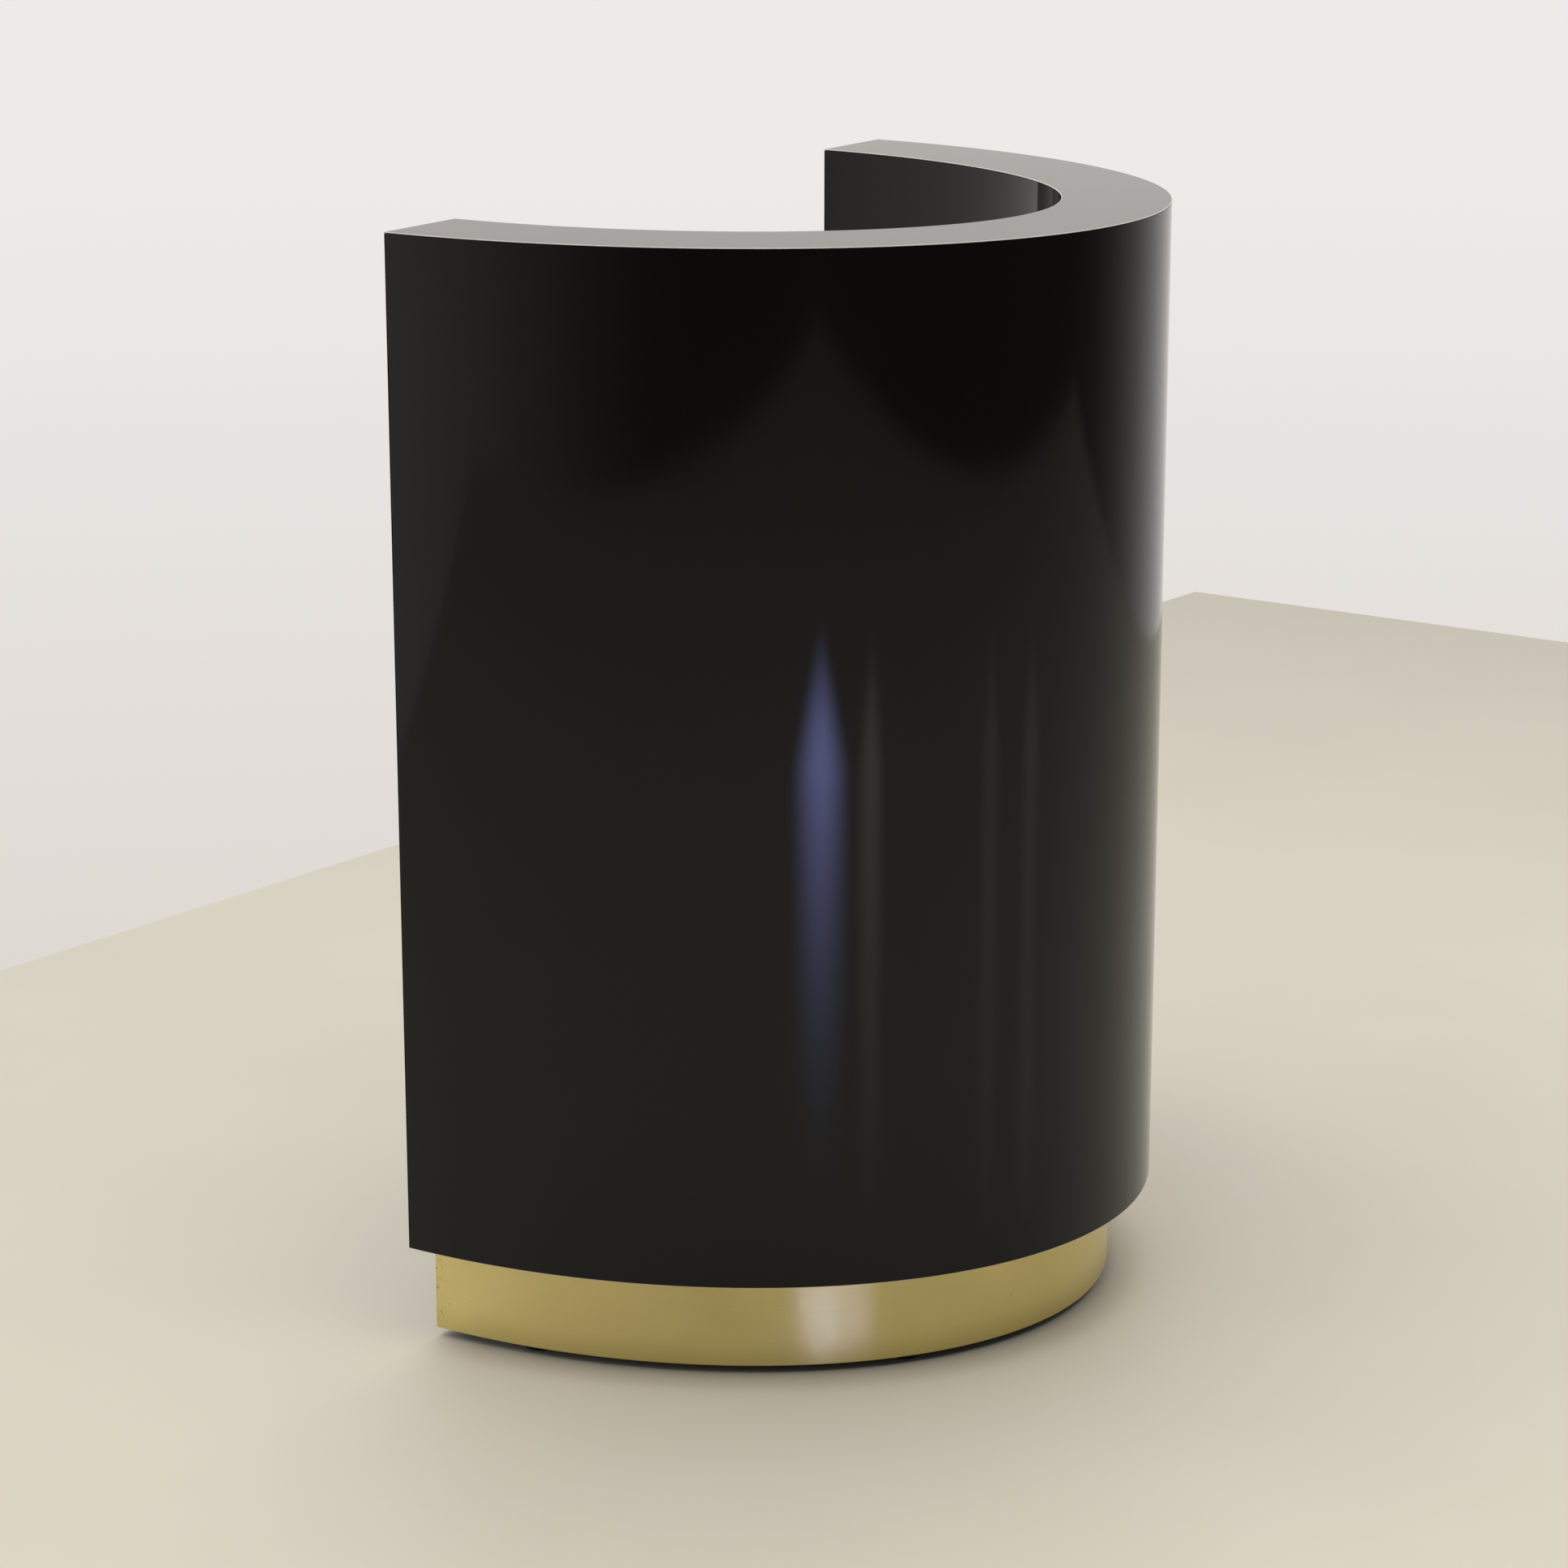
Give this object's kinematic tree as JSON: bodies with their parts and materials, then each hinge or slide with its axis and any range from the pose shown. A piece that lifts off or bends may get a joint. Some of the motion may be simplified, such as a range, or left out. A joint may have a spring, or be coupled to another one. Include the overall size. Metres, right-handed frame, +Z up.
{
  "type": "checkout counter",
  "caption": "Free-standing checkout counter with a half-oval hollow wall, black laminate, a recessed gold toe kick, and a worktop, drawer and shelf behind.",
  "frame": {"origin": "on the floor, under the centre of the counter's bounding box", "axes": "+Z up; the curved front faces -Y, the operator stands at +Y, +X is the counter's right end seen from the front"},
  "size_m": [0.832, 0.524, 1.067],
  "materials": {
    "gloss_black_laminate": "gloss high-pressure laminate",
    "birch_plywood": "bare plywood",
    "mdf_board": "bare fibreboard",
    "black_painted_wood": "wood sprayed satin black",
    "brushed_gold_sheet": "brushed gold",
    "charcoal_melamine": "satin melamine facing",
    "laminated_board": "board faced with gloss black laminate",
    "zinc_plated_steel": "zinc plated",
    "powder_coated_steel": "fine texture powder coat",
    "nickel_plated_brass": "satin nickel",
    "black_plastic": "moulded"
  },
  "bodies": {
    "counter": {"outer_laminate": "gloss_black_laminate", "inner_laminate": "gloss_black_laminate", "top_laminate": "gloss_black_laminate", "left_end_laminate": "gloss_black_laminate", "right_end_laminate": "gloss_black_laminate", "outer_skin": "birch_plywood", "inner_skin": "birch_plywood", "top_board": "mdf_board", "bottom_board": "mdf_board", "left_end_board": "mdf_board", "right_end_board": "mdf_board", "rib_lower": "birch_plywood", "rib_upper": "birch_plywood", "stringer_1": "birch_plywood", "stringer_2": "birch_plywood", "stringer_3": "birch_plywood", "stringer_4": "birch_plywood", "stringer_5": "birch_plywood", "toe_kick": "brushed_gold_sheet", "plinth_front_web": "black_painted_wood", "plinth_rear_web": "black_painted_wood", "plinth_plate": "black_painted_wood", "plinth_back_rail": "black_painted_wood", "threaded_insert_1": "zinc_plated_steel", "threaded_insert_2": "zinc_plated_steel", "threaded_insert_3": "zinc_plated_steel", "threaded_insert_4": "zinc_plated_steel", "deck_cleat": "birch_plywood", "bottom_deck": "charcoal_melamine", "worktop_cleat": "black_painted_wood", "worktop": "laminated_board", "worktop_edge": "black_plastic", "left_partition": "charcoal_melamine", "right_partition": "charcoal_melamine", "carcass_back": "charcoal_melamine", "lock_rail": "charcoal_melamine", "shelf": "charcoal_melamine", "shelf_pin_1": "zinc_plated_steel", "shelf_pin_2": "zinc_plated_steel", "shelf_pin_3": "zinc_plated_steel", "shelf_pin_4": "zinc_plated_steel", "grommet_liner": "black_plastic", "slide_outer_left": "zinc_plated_steel", "slide_outer_right": "zinc_plated_steel"},
    "drawer": {"drawer_front": "laminated_board", "drawer_tray": "powder_coated_steel", "drawer_pull": "nickel_plated_brass", "slide_inner_left": "zinc_plated_steel", "slide_inner_right": "zinc_plated_steel", "lock_housing": "nickel_plated_brass"},
    "slide_middle": {"slide_middle_left": "zinc_plated_steel", "slide_middle_right": "zinc_plated_steel"},
    "lock": {"lock_plug": "nickel_plated_brass", "lock_cam": "zinc_plated_steel", "lock_key": "nickel_plated_brass"},
    "cable_cap": {"grommet_cap": "black_plastic"},
    "foot_1": {"levelling_foot_1": "black_plastic"},
    "foot_2": {"levelling_foot_2": "black_plastic"},
    "foot_3": {"levelling_foot_3": "black_plastic"},
    "foot_4": {"levelling_foot_4": "black_plastic"}
  },
  "joints": [
    {"name": "drawer_slide", "type": "slide", "parent": "counter", "child": "drawer", "axis": [0, 1, 0], "range_m": [0, 0.18]},
    {"name": "slide_middle_travel", "type": "slide", "parent": "counter", "child": "slide_middle", "axis": [0, 1, 0], "range_m": [0, 0.09]},
    {"name": "lock_turn", "type": "hinge", "parent": "drawer", "child": "lock", "pos_m": [0, 0.217, 0.832], "axis": [0, 1, 0], "range_deg": [0, 90]},
    {"name": "cable_cap_turn", "type": "hinge", "parent": "counter", "child": "cable_cap", "pos_m": [0, -0.068, 0.914], "axis": [0, 0, 1], "continuous": true},
    {"name": "foot_1_screw", "type": "slide", "parent": "counter", "child": "foot_1", "axis": [0, 0, -1], "range_m": [0, 0.012]},
    {"name": "foot_2_screw", "type": "slide", "parent": "counter", "child": "foot_2", "axis": [0, 0, -1], "range_m": [0, 0.012]},
    {"name": "foot_3_screw", "type": "slide", "parent": "counter", "child": "foot_3", "axis": [0, 0, -1], "range_m": [0, 0.012]},
    {"name": "foot_4_screw", "type": "slide", "parent": "counter", "child": "foot_4", "axis": [0, 0, -1], "range_m": [0, 0.012]}
  ],
  "couplings": [
    {"joint": "slide_middle_travel", "follows": "drawer_slide", "ratio": 0.5}
  ]
}
